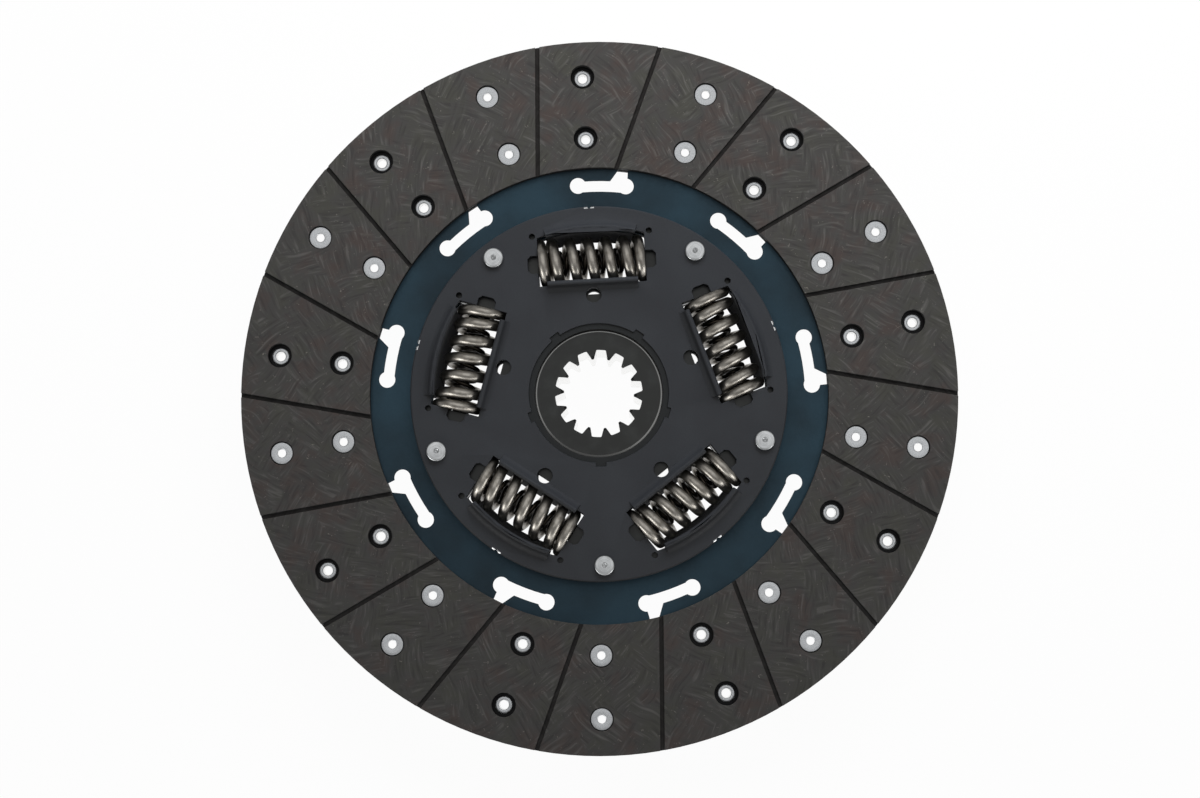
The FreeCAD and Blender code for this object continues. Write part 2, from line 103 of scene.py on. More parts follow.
def linear(colour: str) -> tuple[float, float, float, float]:
    """Turns an sRGB hex colour into linear red, green, blue and alpha.

    Args:
        colour: Six hex digits after a hash sign.

    Returns:
        Four numbers for a shader's colour socket.
    """
    shares = [int(colour[i : i + 2], 16) / 255 for i in (1, 3, 5)]
    light = [s / 12.92 if s <= 0.04045 else ((s + 0.055) / 1.055) ** 2.4 for s in shares]
    return (light[0], light[1], light[2], 1.0)


def add(
    tree: bpy.types.NodeTree, kind: str, inputs: list | dict | None = None, **settings: object
) -> bpy.types.Node:
    """Adds a node with its settings, values and links.

    Args:
        tree: The material's or the world's node tree.
        kind: The node's type name after "ShaderNode".
        inputs: Values and links, in the order of the sockets in use or by socket name. A node
            stands for its first output in use.
        settings: Values of the node's own settings.

    Returns:
        The new node.
    """
    node = tree.nodes.new("ShaderNode" + kind)
    for name, value in settings.items():
        setattr(node, name, value)
    if not isinstance(inputs, dict):
        in_use = [number for number, socket in enumerate(node.inputs) if socket.enabled]
        inputs = dict(zip(in_use, inputs or []))
    for key, value in inputs.items():
        if isinstance(value, bpy.types.Node):
            value = next(socket for socket in value.outputs if socket.enabled)
        if isinstance(value, bpy.types.NodeSocket):
            tree.links.new(value, node.inputs[key])
        else:
            node.inputs[key].default_value = value
    return node


def empty_material(name: str) -> tuple[bpy.types.Material, bpy.types.NodeTree]:
    """Makes a material with an empty node tree.

    Args:
        name: The material's name.

    Returns:
        The material and its tree.
    """
    material = bpy.data.materials.new(name)
    material.use_nodes = True
    material.node_tree.nodes.clear()
    return material, material.node_tree


def blend(
    tree: bpy.types.NodeTree,
    field: Field,
    band: tuple[float, float, float],
    below: str | Field,
    above: str,
) -> bpy.types.Node:
    """Mixes two colours by a field's place in a band.

    Args:
        tree: The material's node tree.
        field: The field, such as a noise or a mask.
        band: The field's values where the mix starts and ends, and the upper colour's share there.
        below: The lower colour, as hex or as a link.
        above: The upper colour.

    Returns:
        The node of the mixed colour.
    """
    amount = add(tree, "MapRange", [field, band[0], band[1], 0.0, band[2]])
    lower = linear(below) if isinstance(below, str) else below
    return add(tree, "Mix", [amount, lower, linear(above)], data_type="RGBA")


def grained(
    tree: bpy.types.NodeTree,
    place: Field,
    size: float,
    detail: float,
    strength: float,
    depth: float,
) -> tuple[bpy.types.Node, bpy.types.Node]:
    """Adds fine noise and the bumps that it makes.

    Args:
        tree: The material's node tree.
        place: Object coordinates.
        size: Size of a noise cell in millimetres.
        detail: Number of finer layers.
        strength: Share of the bumps that shows.
        depth: Height of the bumps in millimetres.

    Returns:
        The nodes of the noise and of the bumps.
    """
    noise = add(tree, "TexNoise", {"Vector": place, "Scale": 1 / (size * MM), "Detail": detail})
    bump = {"Strength": strength, "Distance": depth * MM, "Height": noise}
    return noise, add(tree, "Bump", bump)


def axis_distance(tree: bpy.types.NodeTree, place: Field) -> bpy.types.Node:
    """Adds the distance from the disc's axis.

    Args:
        tree: The material's node tree.
        place: Object coordinates.

    Returns:
        The node of the distance, in metres.
    """
    flat = add(tree, "VectorMath", [place, (1.0, 1.0, 0.0)], operation="MULTIPLY")
    return add(tree, "VectorMath", [flat], operation="LENGTH")


def axis_angle(tree: bpy.types.NodeTree, place: Field) -> bpy.types.Node:
    """Adds the angle round the disc's axis.

    Args:
        tree: The material's node tree.
        place: Object coordinates.

    Returns:
        The node of the angle, in radians.
    """
    axes = add(tree, "SeparateXYZ", [place]).outputs
    return add(tree, "Math", [axes[1], axes[0]], operation="ARCTAN2")


def upright_share(tree: bpy.types.NodeTree) -> bpy.types.Node:
    """Adds a mask of the walls that stand along the axis.

    Args:
        tree: The material's node tree.

    Returns:
        The node of 1 where the surface stands upright and 0 elsewhere.
    """
    axes = add(tree, "SeparateXYZ", [add(tree, "NewGeometry").outputs["Normal"]])
    return add(tree, "Math", [axes.outputs[2], 0.0, 0.35], operation="COMPARE")


@dataclass(frozen=True)
class Finish:
    """What a material is and how its surface was made."""

    name: str

    def material(self) -> bpy.types.Material:
        """Builds the material.

        Returns:
            The finish's material.
        """
        material, tree = empty_material(self.name)
        place = add(tree, "TexCoord").outputs["Object"]
        shader = add(tree, "BsdfPrincipled", self.surface(tree, place))
        add(tree, "OutputMaterial", [shader])
        return material

    def surface(self, tree: bpy.types.NodeTree, place: Field) -> dict[str, object]:
        """Works out what goes into the surface shader. Each finish has its own.

        Args:
            tree: The material's node tree.
            place: Object coordinates.

        Returns:
            Values and links by the shader's socket names.
        """
        raise NotImplementedError


@dataclass(frozen=True)
class WoundYarnLining(Finish):
    """Resin-bonded wound yarn, ground flat: matt brown-grey with crossing streaks of yarn.

    The yarn lies along two families of spirals at 45 degrees to the radius, which take turns in
    diamond patches, as the winding machine leaves them.
    """

    name: str = "wound_yarn_lining"
    ground: str = "#403f3e"
    shade: str = "#323131"
    warm: str = "#463a36"
    olive: str = "#414139"
    yarn: str = "#5d5c59"
    speck: str = "#8a867e"
    # painted shade: the colour of everything sunk below the ground face
    painted_recess_shade: str = "#1d1b1a"
    yarn_width: float = 1.25
    yarn_length: float = 11.0
    patch_size: float = 19.0
    wobble_size: float = 14.0
    tint_size: float = 11.0
    speck_spacing: float = 1.5
    grain_size: float = 0.5
    sway: float = 0.05
    sway_size: float = 15.0
    middle_radius: float = 133.0
    middle_height: float = 23.2
    face_height: float = 4.45
    sunk_depth: float = 0.5
    relief: float = 0.05

    def surface(self, tree: bpy.types.NodeTree, place: Field) -> dict[str, object]:
        """Works out the shader's inputs, as Finish says."""
        radius = axis_distance(tree, place)
        share = add(tree, "Math", [radius, self.middle_radius * MM], operation="DIVIDE")
        growth = add(tree, "Math", [share, math.e], operation="LOGARITHM")
        sway = {"Vector": place, "Scale": 1 / (self.sway_size * MM), "Detail": 0.0}
        turn = [add(tree, "TexNoise", sway), self.sway, axis_angle(tree, place)]
        turned = add(tree, "Math", turn, operation="MULTIPLY_ADD")
        spirals = [
            add(tree, "Math", [turned, growth], operation=kind) for kind in ("SUBTRACT", "ADD")
        ]
        yarns = [self.yarn_family(tree, *spirals), self.yarn_family(tree, *reversed(spirals))]
        patch = self.patches(tree, spirals, place)
        yarn = add(tree, "Mix", [patch, *yarns], data_type="FLOAT")
        fine = {"Vector": place, "Scale": 1 / (self.grain_size * MM), "Detail": 3.0}
        heights = [add(tree, "TexNoise", fine), 0.5, yarn]
        height = add(tree, "Math", heights, operation="MULTIPLY_ADD")
        bump = {"Strength": 0.6, "Distance": self.relief * MM, "Height": height}
        return {
            "Base Color": self.sunk(tree, self.colours(tree, place, yarn), place),
            "Roughness": add(tree, "MapRange", [yarn, 0.4, 0.7, 0.82, 0.6]),
            "Specular IOR Level": 0.3,
            "Normal": add(tree, "Bump", bump),
        }

    def sunk(self, tree: bpy.types.NodeTree, colour: Field, place: Field) -> Field:
        """Darkens what lies deeper than the ground face, in the grooves and the rivet holes, as
        painted shade.

        Args:
            tree: The material's node tree.
            colour: The lining's colour.
            place: Object coordinates.

        Returns:
            The node of the colour.
        """
        height = add(tree, "SeparateXYZ", [place]).outputs[2]
        offset = add(tree, "Math", [height, self.middle_height * MM], operation="SUBTRACT")
        depth = add(tree, "Math", [offset], operation="ABSOLUTE")
        band = (self.face_height * MM, (self.face_height - self.sunk_depth) * MM, 1.0)
        # painted shade in the grooves, the rivet holes and on the walls below the face
        return blend(tree, depth, band, colour, self.painted_recess_shade)

    def yarn_family(self, tree: bpy.types.NodeTree, crossing: Field, running: Field) -> Field:
        """Adds noise that is drawn out along one family of spirals and closes round the ring.

        Both spiral angles go in as their cosine and sine, so the four-dimensional noise has no
        seam where the angle jumps by a full turn. A radian takes as many noise cells as yarn
        widths, or lengths, fit into the middle radius's arc on that slant.

        Args:
            tree: The material's node tree.
            crossing: The spiral angle that changes across the yarn.
            running: The spiral angle that changes along the yarn.

        Returns:
            The node of the noise.
        """
        waves = []
        for spiral, size in ((crossing, self.yarn_width), (running, self.yarn_length)):
            cells = self.middle_radius / (math.sqrt(2) * size)
            for kind in ("COSINE", "SINE"):
                wave = add(tree, "Math", [spiral], operation=kind)
                waves.append(add(tree, "Math", [wave, cells], operation="MULTIPLY"))
        drawn = {
            "Vector": add(tree, "CombineXYZ", waves[:3]),
            "W": waves[3],
            "Scale": 1.0,
            "Detail": 1.5,
            "Distortion": 0.7,
        }
        return add(tree, "TexNoise", drawn, noise_dimensions="4D")

    def patches(self, tree: bpy.types.NodeTree, spirals: list[Field], place: Field) -> Field:
        """Adds the diamond patches in which one yarn family lies over the other.

        The patch is the sign of the product of two waves, one along each family of spirals,
        with its edges drawn uneven by noise.

        Args:
            tree: The material's node tree.
            spirals: The two spiral angles.
            place: Object coordinates.

        Returns:
            The node of 0 in one kind of patch and 1 in the other.
        """
        turns = float(round(math.pi * self.middle_radius / (math.sqrt(2) * self.patch_size)))
        uneven = {"Vector": place, "Scale": 1 / (self.wobble_size * MM), "Detail": 1.0}
        wobble = [add(tree, "TexNoise", uneven), 5.0, -2.5]
        phase = add(tree, "Math", wobble, operation="MULTIPLY_ADD")
        waves = []
        for spiral in spirals:
            turned = add(tree, "Math", [spiral, turns, phase], operation="MULTIPLY_ADD")
            waves.append(add(tree, "Math", [turned], operation="SINE"))
        product = add(tree, "Math", waves, operation="MULTIPLY")
        return add(tree, "MapRange", [product, -0.12, 0.12])

    def colours(self, tree: bpy.types.NodeTree, place: Field, yarn: Field) -> Field:
        """Adds the colours: ground, olive and warm tints, dark gaps, light yarn and specks.

        Args:
            tree: The material's node tree.
            place: Object coordinates.
            yarn: The yarn noise.

        Returns:
            The node of the colour.
        """
        slow = {"Vector": place, "Scale": 1 / (self.tint_size * MM), "Detail": 4.0}
        tint = add(tree, "TexNoise", slow)
        small = {"Vector": place, "Scale": 1 / (self.speck_spacing * MM), "Detail": 3.0}
        specks = add(tree, "TexNoise", small | {"Distortion": 1.5})
        layers = (
            (tint, (0.52, 0.34, 0.5), self.olive),
            (tint, (0.5, 0.68, 0.6), self.warm),
            (yarn, (0.44, 0.28, 0.6), self.shade),
            (yarn, (0.57, 0.78, 0.7), self.yarn),
            (specks, (0.67, 0.76, 0.6), self.speck),
        )
        colour = self.ground
        for field, band, above in layers:
            colour = blend(tree, field, band, colour, above)
        return colour


@dataclass(frozen=True)
class BluedSpringSteel(Finish):
    """Hardened spring steel sheet, tempered blue: a satin oxide film with slow cloudy changes.

    Beyond a radius, under the facings, it is painted very dark as painted shade of the facings.
    """

    name: str = "blued_spring_steel"
    deep: str = "#1b2931"
    pale: str = "#243843"
    cloud_size: float = 34.0
    roughness: float = 0.42
    # painted shade: the colour beyond the facings' inner edge
    painted_shade: str = "#0b0b0c"
    painted_shade_from: float = 104.0
    painted_shade_edge: float = 1.5

    def surface(self, tree: bpy.types.NodeTree, place: Field) -> dict[str, object]:
        """Works out the shader's inputs, as Finish says."""
        slow = {"Vector": place, "Scale": 1 / (self.cloud_size * MM), "Detail": 3.0}
        clouds = add(tree, "TexNoise", slow)
        colour = blend(tree, clouds, (0.35, 0.65, 1.0), self.deep, self.pale)
        # painted shade: very dark from the facings' inner edge outward
        band = (self.painted_shade_from * MM, (self.painted_shade_from + self.painted_shade_edge) * MM, 1.0)
        grain, bump = grained(tree, place, 0.8, 2.0, 0.25, 0.01)
        gloss = [grain, 0.3, 0.7, self.roughness - 0.06, self.roughness + 0.08]
        return {
            "Base Color": blend(tree, axis_distance(tree, place), band, colour, self.painted_shade),
            "Metallic": 0.75,
            "Roughness": add(tree, "MapRange", gloss),
            "Normal": bump,
        }


@dataclass(frozen=True)
class PhosphatedPlate(Finish):
    """Pressed steel with a dark phosphate coat: a smooth matt charcoal, a little bluish.

    The small nicks in the rim are cut through the coat and show bare steel.
    """

    name: str = "phosphated_plate"
    base: str = "#2a2c30"
    worn: str = "#323539"
    bare: str = "#c9cacb"
    nick_circle: float = 84.1
    nick_half_angle: float = 1.55
    blotch_size: float = 22.0
    roughness: float = 0.58

    def surface(self, tree: bpy.types.NodeTree, place: Field) -> dict[str, object]:
        """Works out the shader's inputs, as Finish says."""
        slow = {"Vector": place, "Scale": 1 / (self.blotch_size * MM), "Detail": 5.0}
        blotches = add(tree, "TexNoise", slow)
        colour = blend(tree, blotches, (0.4, 0.75, 0.6), self.base, self.worn)
        crystals, bump = grained(tree, place, 0.7, 2.0, 0.3, 0.012)
        gloss = [crystals, 0.3, 0.7, self.roughness - 0.05, self.roughness + 0.1]
        nick = self.nicks(tree, place)
        polish = [nick, add(tree, "MapRange", gloss), 0.25]
        return {
            "Base Color": blend(tree, nick, WHOLE, colour, self.bare),
            "Metallic": nick,
            "Roughness": add(tree, "Mix", polish, data_type="FLOAT"),
            "Specular IOR Level": 0.28,
            "Normal": bump,
        }

    def nicks(self, tree: bpy.types.NodeTree, place: Field) -> Field:
        """Adds a mask of the rim nicks, one beside the middle of each window.

        Args:
            tree: The material's node tree.
            place: Object coordinates.

        Returns:
            The node of 1 on the nicks and 0 elsewhere.
        """
        first = WINDOW_COUNT * math.radians(WINDOW_ANGLE)
        turned = [axis_angle(tree, place), float(WINDOW_COUNT), -first]
        phase = add(tree, "Math", turned, operation="MULTIPLY_ADD")
        nearness = add(tree, "Math", [phase], operation="COSINE")
        limit = math.cos(WINDOW_COUNT * math.radians(self.nick_half_angle))
        beside = add(tree, "Math", [nearness, limit], operation="GREATER_THAN")
        radius = [axis_distance(tree, place), self.nick_circle * MM]
        outside = add(tree, "Math", radius, operation="GREATER_THAN")
        return add(tree, "Math", [beside, outside], operation="MULTIPLY")


@dataclass(frozen=True)
class OiledForging(Finish):
    """Forged and turned hub steel, blackened and oiled, with fine turning marks about the axis.

    The broached spline inside it is bare bright steel, and the nose's edge is worn bright.
    """

    name: str = "oiled_forging"
    base: str = "#1e1f1e"
    machined: str = "#303231"
    broached: str = "#efefed"
    broached_to: float = 20.2
    worn_edge: str = "#6c6c6b"
    worn_from: float = 27.9
    worn_above: float = 31.0
    facet_lean: float = 6.0
    blotch_size: float = 7.0
    mark_pitch: float = 0.55
    roughness: float = 0.3

    def surface(self, tree: bpy.types.NodeTree, place: Field) -> dict[str, object]:
        """Works out the shader's inputs, as Finish says."""
        rings = {
            "Vector": place,
            "Scale": 1 / (self.mark_pitch * MM) / 20,
            "Distortion": 1.5,
            "Detail": 2.0,
        }
        marks = add(tree, "TexWave", rings, wave_type="RINGS", rings_direction="Z")
        bump = {"Strength": 0.25, "Distance": 0.01 * MM, "Height": marks.outputs["Fac"]}
        slow = {"Vector": place, "Scale": 1 / (self.blotch_size * MM), "Detail": 5.0}
        blotches = add(tree, "TexNoise", slow)
        colour = blend(tree, blotches, (0.45, 0.75, 0.5), self.base, self.machined)
        radius = [axis_distance(tree, place), self.broached_to * MM]
        inside = add(tree, "Math", radius, operation="LESS_THAN")
        bare = add(tree, "Math", [upright_share(tree), inside], operation="MULTIPLY")
        edge = self.nose_edge(tree, place)
        bright = add(tree, "Math", [bare, edge], operation="MAXIMUM")
        shown = blend(tree, bare, WHOLE, colour, self.broached)
        normals = [edge, add(tree, "Bump", bump), self.leaning_facet(tree, place)]
        return {
            "Base Color": blend(tree, edge, WHOLE, shown, self.worn_edge),
            "Metallic": add(tree, "MapRange", [bright, 0.0, 1.0, 0.55, 1.0]),
            "Roughness": add(tree, "MapRange", [bright, 0.0, 1.0, self.roughness, 0.15]),
            "Normal": add(tree, "Mix", normals, data_type="VECTOR"),
        }

    def nose_edge(self, tree: bpy.types.NodeTree, place: Field) -> Field:
        """Adds a mask of the rounded front edge of the nose, which handling has polished.

        Args:
            tree: The material's node tree.
            place: Object coordinates.

        Returns:
            The node of 1 on the edge and 0 elsewhere.
        """
        height = add(tree, "SeparateXYZ", [place]).outputs[2]
        limits = ((height, self.worn_above), (axis_distance(tree, place), self.worn_from))
        masks = [
            add(tree, "Math", [field, limit * MM], operation="GREATER_THAN")
            for field, limit in limits
        ]
        return add(tree, "Math", masks, operation="MULTIPLY")

    def leaning_facet(self, tree: bpy.types.NodeTree, place: Field) -> Field:
        """Adds the direction that the turned facet of the nose's edge faces, outward and up.

        Args:
            tree: The material's node tree.
            place: Object coordinates.

        Returns:
            The node of the direction.
        """
        lean = math.radians(self.facet_lean)
        flat = add(tree, "VectorMath", [place, (1.0, 1.0, 0.0)], operation="MULTIPLY")
        outward = add(tree, "VectorMath", [flat], operation="NORMALIZE")
        parts = [outward, (math.sin(lean), math.sin(lean), 0.0), (0.0, 0.0, math.cos(lean))]
        facing = add(tree, "VectorMath", parts, operation="MULTIPLY_ADD")
        spaces = {"convert_from": "OBJECT", "convert_to": "WORLD"}
        return add(tree, "VectorTransform", [facing], vector_type="NORMAL", **spaces)


@dataclass(frozen=True)
class PeenedSpringWire(Finish):
    """Oil-tempered spring wire, shot peened: warm grey steel that shines along its crests."""

    name: str = "peened_spring_wire"
    steel: str = "#97938c"
    scale: str = "#645f57"
    blotch_size: float = 2.2
    roughness: float = 0.35
    dimple_size: float = 0.35

    def surface(self, tree: bpy.types.NodeTree, place: Field) -> dict[str, object]:
        """Works out the shader's inputs, as Finish says."""
        slow = {"Vector": place, "Scale": 1 / (self.blotch_size * MM), "Detail": 4.0}
        blotches = add(tree, "TexNoise", slow)
        bump = grained(tree, place, self.dimple_size, 1.0, 0.35, 0.03)[1]
        return {
            "Base Color": blend(tree, blotches, (0.42, 0.72, 0.7), self.steel, self.scale),
            "Metallic": 1.0,
            "Roughness": self.roughness,
            "Normal": bump,
        }


@dataclass(frozen=True)
class ZincRivetSteel(Finish):
    """Deep-drawn soft steel, zinc plated: pale grey with a fine frosted grain, drawn bores bright."""

    name: str = "zinc_rivet_steel"
    base: str = "#c0c2c4"
    shade: str = "#94979a"
    drawn: str = "#efefee"
    grain_size: float = 0.3
    roughness: float = 0.42

    def surface(self, tree: bpy.types.NodeTree, place: Field) -> dict[str, object]:
        """Works out the shader's inputs, as Finish says."""
        grain, bump = grained(tree, place, self.grain_size, 2.0, 0.4, 0.03)
        colour = blend(tree, grain, (0.4, 0.65, 1.0), self.base, self.shade)
        wall = upright_share(tree)
        return {
            "Base Color": blend(tree, wall, WHOLE, colour, self.drawn),
            "Metallic": 1.0,
            "Roughness": add(tree, "MapRange", [wall, 0.0, 1.0, self.roughness, 0.2]),
            "Normal": bump,
        }


@dataclass(frozen=True)
class TurnedPinSteel(Finish):
    """Bright turned steel: rings of tool marks run round each pin, so the light fans out."""

    name: str = "turned_pin_steel"
    base: str = "#b9bbbc"
    groove: str = "#8d8f90"
    marks_along: float = 208.0
    marks_round: float = 3.0
    roughness: float = 0.3

    def surface(self, tree: bpy.types.NodeTree, place: Field) -> dict[str, object]:
        """Works out the shader's inputs, as Finish says, along the profile's UV map."""
        chart = add(tree, "UVMap", uv_map="profile")
        drawn = {"Vector": chart, "Scale": (self.marks_round, self.marks_along, 1.0)}
        vector = add(tree, "Mapping", drawn)
        marks = add(tree, "TexNoise", {"Vector": vector, "Scale": 1.0, "Detail": 2.0})
        bump = {"Strength": 0.5, "Distance": 0.02 * MM, "Height": marks}
        return {
            "Base Color": blend(tree, marks, (0.4, 0.65, 1.0), self.base, self.groove),
            "Metallic": 1.0,
            "Roughness": self.roughness,
            "Normal": add(tree, "Bump", bump),
        }


@dataclass(frozen=True)
class MouldedPart(Finish):
    """Moulded or pressed non-metal, such as glass-filled polyamide or pressed fibre: dull, fine."""

    base: str
    fleck: str
    fleck_size: float = 0.6
    roughness: float = 0.55
    sheen: float = 0.4

    def surface(self, tree: bpy.types.NodeTree, place: Field) -> dict[str, object]:
        """Works out the shader's inputs, as Finish says."""
        flecks, bump = grained(tree, place, self.fleck_size, 3.0, 0.4, 0.02)
        return {
            "Base Color": blend(tree, flecks, (0.5, 0.7, 0.6), self.base, self.fleck),
            "Roughness": self.roughness,
            "Specular IOR Level": self.sheen,
            "Normal": bump,
        }


def grid_quads(rows: int, columns: int, wrap_rows: bool, wrap_columns: bool) -> np.ndarray:
    """Joins the points of a grid by quads.

    Point (i, j) of the grid has the number i * columns + j. Each quad goes from it to its
    neighbours in the next column and the next row, and a wrapped side joins its last to its first.

    Args:
        rows: Number of rows.
        columns: Number of points in a row.
        wrap_rows: Whether the last row meets the first.
        wrap_columns: Whether the last column meets the first.

    Returns:
        Point numbers, four for each quad.
    """
    i = np.arange(rows if wrap_rows else rows - 1)
    j = np.arange(columns if wrap_columns else columns - 1)
    row, column = np.meshgrid(i, j, indexing="ij")
    next_row = (row + 1) % rows
    next_column = (column + 1) % columns
    corners = [
        row * columns + column,
        row * columns + next_column,
        next_row * columns + next_column,
        next_row * columns + column,
    ]
    return np.stack(corners, -1).reshape(-1, 4)


def piece_from_grids(
    name: str, points: np.ndarray, quads: np.ndarray, chart: np.ndarray | None = None
) -> bpy.types.Object:
    """Makes an object from points in millimetres and the quads of one grid, used for each copy.

    Args:
        name: The piece's name.
        points: Points, with shape (copies, points, 3).
        quads: Quads of one copy.
        chart: UV place of each point of one copy, for a pattern that follows the surface.

    Returns:
        The object, smooth shaded, in metres.
    """
    copies, count = points.shape[:2]
    shift = (np.arange(copies) * count)[:, None, None]
    faces = (quads[None] + shift).reshape(-1, 4)
    mesh = bpy.data.meshes.new(name)
    mesh.from_pydata((points.reshape(-1, 3) * MM).tolist(), [], faces.tolist())
    if chart is not None:
        layer = mesh.uv_layers.new(name="profile")
        corners = np.tile(chart, (copies, 1))[faces.ravel()]
        layer.data.foreach_set("uv", corners.astype(np.float32).ravel())
    mesh.update()
    mesh.shade_smooth()
    piece = bpy.data.objects.new(name, mesh)
    bpy.context.scene.collection.objects.link(piece)
    return piece


def rounded_profile(corners: np.ndarray, rounds: np.ndarray, steps: int) -> np.ndarray:
    """Rounds the corners of a closed profile.

    Each corner becomes a quadratic curve that starts on the side before it and ends on the side
    after it, both at that corner's distance, with the corner as its control point.

    Args:
        corners: Corners in order, as (radius, height).
        rounds: Distance from each corner at which its curve starts and ends.
        steps: Points on each curve.

    Returns:
        The profile's points.
    """
    before = np.roll(corners, 1, axis=0) - corners
    after = np.roll(corners, -1, axis=0) - corners
    reach = rounds[:, None]
    start = corners + before / np.linalg.norm(before, axis=1, keepdims=True) * reach
    end = corners + after / np.linalg.norm(after, axis=1, keepdims=True) * reach
    t = np.linspace(0.0, 1.0, steps)[None, :, None]
    curve = (
        (1 - t) ** 2 * start[:, None] + 2 * t * (1 - t) * corners[:, None] + t**2 * end[:, None]
    )
    return curve.reshape(-1, 2)


def turned_points(profile: np.ndarray, columns: int) -> np.ndarray:
    """Turns a profile about the vertical axis.

    Row i, column j is the profile's point i at the angle 2 pi j / columns.

    Args:
        profile: Points as (radius, height).
        columns: Points round the axis.

    Returns:
        Points with shape (rows * columns, 3).
    """
    angle = np.linspace(0.0, 2 * math.pi, columns, endpoint=False)
    radius, height = profile[:, :1], profile[:, 1:]
    grid = [radius * np.cos(angle), radius * np.sin(angle), height + 0 * angle]
    return np.stack(grid, -1).reshape(-1, 3)


def turned_chart(profile: np.ndarray, columns: int) -> np.ndarray:
    """Gives each point of a turned profile its share of the turn and of the profile's length.

    Args:
        profile: Points as (radius, height).
        columns: Points round the axis.

    Returns:
        UV places with shape (rows * columns, 2).
    """
    gaps = np.linalg.norm(np.diff(profile, axis=0), axis=1)
    length = np.concatenate([[0.0], np.cumsum(gaps)])
    share = np.abs(np.linspace(-1.0, 1.0, columns, endpoint=False))
    v, u = np.meshgrid(length / length[-1], share, indexing="ij")
    return np.stack([u, v], -1).reshape(-1, 2)


def placed_round(points: np.ndarray, circle: float, angles: np.ndarray) -> np.ndarray:
    """Copies points to a circle about the axis and turns each copy to its angle.

    A copy's point is the given one moved out by the circle's radius and turned about Z.

    Args:
        points: Points with shape (count, 3).
        circle: Radius of the circle.
        angles: Angles in degrees.

    Returns:
        Points with shape (angles, count, 3).
    """
    turn = np.radians(angles)[:, None]
    x = points[None, :, 0] + circle
    y = points[None, :, 1]
    grid = [
        x * np.cos(turn) - y * np.sin(turn),
        x * np.sin(turn) + y * np.cos(turn),
        points[None, :, 2] + 0 * turn,
    ]
    return np.stack(grid, -1)


def softened_copy(node: str, name: str, width: float) -> bpy.types.Object:
    """Makes a copy of a solid with its sharp edges broken, as tumbling or use leaves them.

    The loose triangles are merged, flat ones are joined, and a bevel of two segments runs along
    each edge that turns by more than 35 degrees.

    Args:
        node: The solid's node.
        name: The new piece's name.
        width: Width of the broken edge in millimetres.

    Returns:
        The copy.
    """
    source = bpy.data.objects[node].data
    points = np.zeros(len(source.vertices) * 3, np.float32)
    source.vertices.foreach_get("co", points)
    corners = np.zeros(len(source.loops), np.int32)
    source.loops.foreach_get("vertex_index", corners)
    mesh = bpy.data.meshes.new(name)
    mesh.from_pydata(points.reshape(-1, 3).tolist(), [], corners.reshape(-1, 3).tolist())
    work = bmesh.new()
    work.from_mesh(mesh)
    bmesh.ops.remove_doubles(work, verts=work.verts, dist=0.002 * MM)
    bmesh.ops.dissolve_limit(
        work, angle_limit=math.radians(0.5), verts=work.verts, edges=work.edges
    )
    work.to_mesh(mesh)
    work.free()
    mesh.shade_smooth()
    mesh.set_sharp_from_angle(angle=SHARP_ANGLE)
    piece = bpy.data.objects.new(name, mesh)
    bpy.context.scene.collection.objects.link(piece)
    bevel = piece.modifiers.new("broken_edges", "BEVEL")
    bevel.limit_method = "ANGLE"
    bevel.angle_limit = SHARP_ANGLE
    bevel.width = width * MM
    bevel.segments = 2
    bevel.use_clamp_overlap = False
    bevel.harden_normals = True
    return piece


def mesh_points(piece: bpy.types.Object) -> np.ndarray:
    """Reads the points of a piece's own mesh, in millimetres.

    Args:
        piece: The piece.

    Returns:
        Points with shape (count, 3).
    """
    points = np.zeros(len(piece.data.vertices) * 3)
    piece.data.vertices.foreach_get("co", points)
    return points.reshape(-1, 3) / MM


def set_mesh_points(piece: bpy.types.Object, points: np.ndarray) -> None:
    """Puts the points of a piece's own mesh in new places.

    Args:
        piece: The piece.
        points: Points in millimetres, with shape (count, 3).
    """
    piece.data.vertices.foreach_set("co", (points * MM).ravel())
    piece.data.update()


def cut_away(piece: bpy.types.Object, tool: bpy.types.Object) -> None:
    """Cuts a tool's shape out of a piece's own mesh and removes the tool.

    Args:
        piece: The piece, with one live modifier.
        tool: The closed shape to take out.
    """
    bevel = piece.modifiers[0]
    bevel.show_viewport = False
    cut = piece.modifiers.new("cut", "BOOLEAN")
    cut.object = tool
    cut.operation = "DIFFERENCE"
    finished = piece.evaluated_get(bpy.context.evaluated_depsgraph_get())
    mesh = bpy.data.meshes.new_from_object(finished)
    piece.modifiers.remove(cut)
    bevel.show_viewport = True
    mesh.name = piece.name
    mesh.materials.clear()
    mesh.shade_smooth()
    mesh.set_sharp_from_angle(angle=SHARP_ANGLE)
    piece.data = mesh
    bpy.data.objects.remove(tool)


def settle(
    piece: bpy.types.Object, node: str, material: bpy.types.Material, body: str
) -> None:
    """Lets a finished piece stand for its node and logs it.

    Args:
        piece: The piece.
        node: The node that it replaces.
        material: Its material.
        body: The body that carries it.
    """
    piece.data.materials.clear()
    piece.data.materials.append(material)
    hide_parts(node)
    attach(piece, body)
    LOG.info("%s rides on %s with %d faces", piece.name, body, len(piece.data.polygons))


def dress_node(node: str, material: bpy.types.Material) -> None:
    """Gives a solid of the frame a better material.

    Args:
        node: The solid's node.
        material: The material.
    """
    for slot in bpy.data.objects[node].material_slots:
        slot.material = material
    LOG.info("%s dressed as %s", node, material.name)


